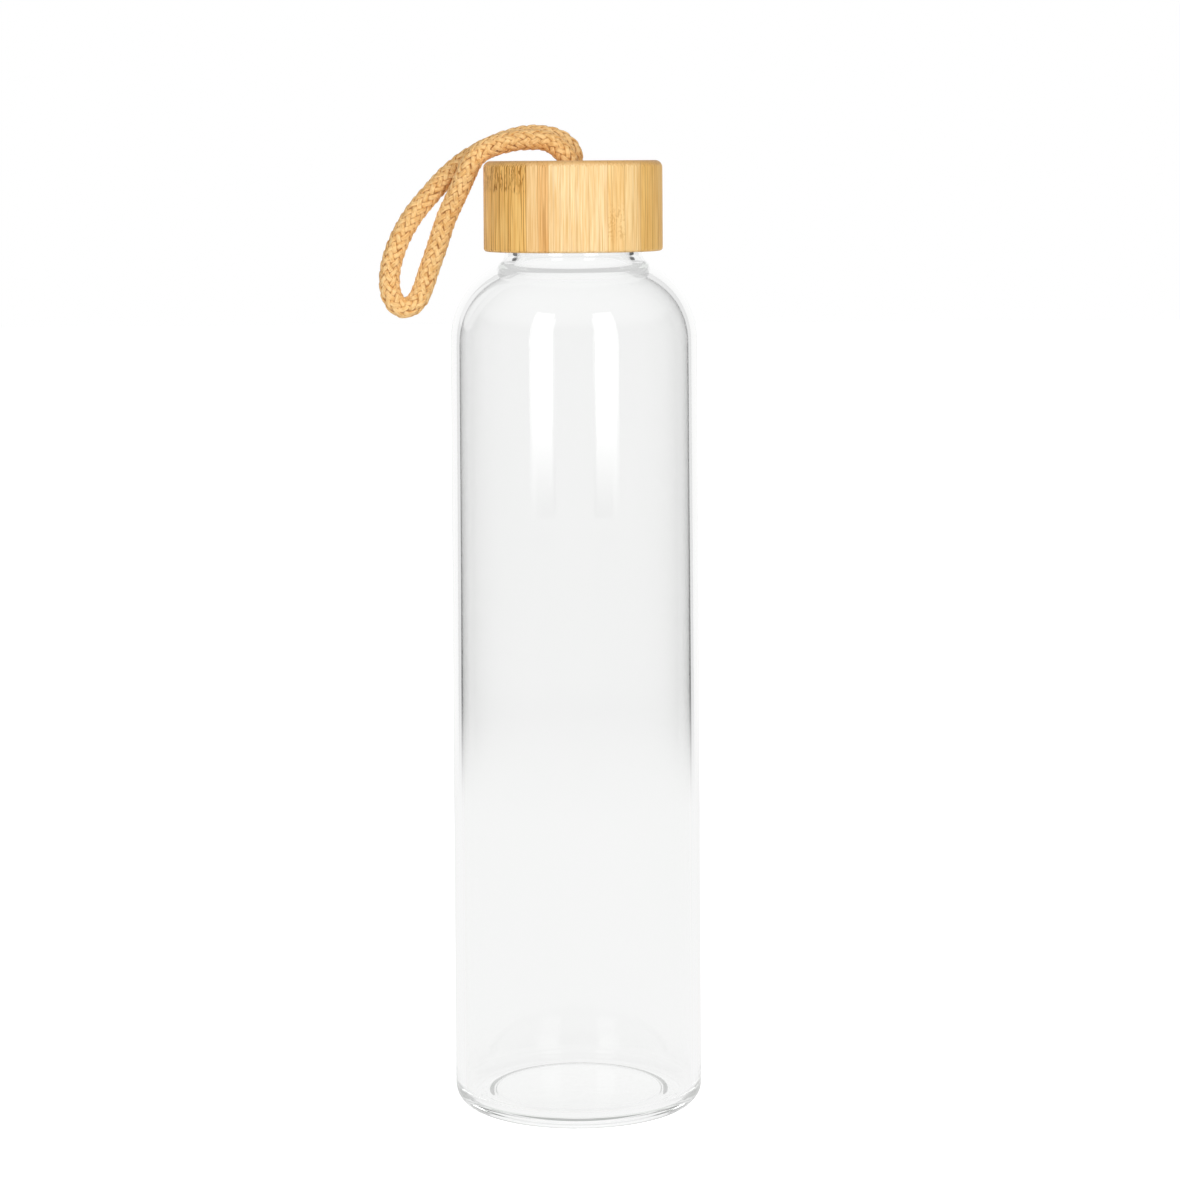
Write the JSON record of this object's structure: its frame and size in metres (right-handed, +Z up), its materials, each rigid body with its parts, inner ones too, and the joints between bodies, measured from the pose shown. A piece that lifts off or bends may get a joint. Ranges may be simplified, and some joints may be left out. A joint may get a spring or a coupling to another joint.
{
  "type": "water bottle",
  "caption": "Straight round glass bottle with a short threaded neck, a turned bamboo screw lid over a plastic threaded liner, and a braided cord loop through the lid.",
  "frame": {"origin": "centre of the circle the bottle stands on", "axes": "+Z up along the axis of the bottle; the cord loop hangs towards -X"},
  "size_m": [0.0782, 0.0606, 0.2409],
  "materials": {
    "clear_glass": "clear, smooth",
    "silicone": "translucent white, soft",
    "liner_plastic": "off-white moulded plastic",
    "bamboo": "sanded laminated bamboo with a thin oil finish",
    "cord": "braided, tan, slightly glossy yarn"
  },
  "bodies": {
    "bottle": {"glass_bottle": "clear_glass"},
    "gasket": {"sealing_gasket": "silicone"},
    "lid": {"bamboo_lid": "bamboo", "threaded_liner": "liner_plastic", "cord_knot": "cord"},
    "loop": {"cord_loop": "cord"}
  },
  "joints": [
    {"name": "lid_rise", "type": "slide", "parent": "bottle", "child": "gasket", "axis": [0, 0, 1], "range_m": [0, 0.016]},
    {"name": "lid_turn", "type": "hinge", "parent": "gasket", "child": "lid", "pos_m": [0, 0, 0.2255], "axis": [0, 0, 1], "range_deg": [0, 1440]},
    {"name": "loop_swing", "type": "hinge", "parent": "lid", "child": "loop", "pos_m": [-0.0018, 0, 0.2356], "axis": [0, 1, 0], "range_deg": [0, 95]}
  ],
  "couplings": [
    {"joint": "lid_rise", "follows": "lid_turn", "m_per_rad": 0.00063662}
  ]
}
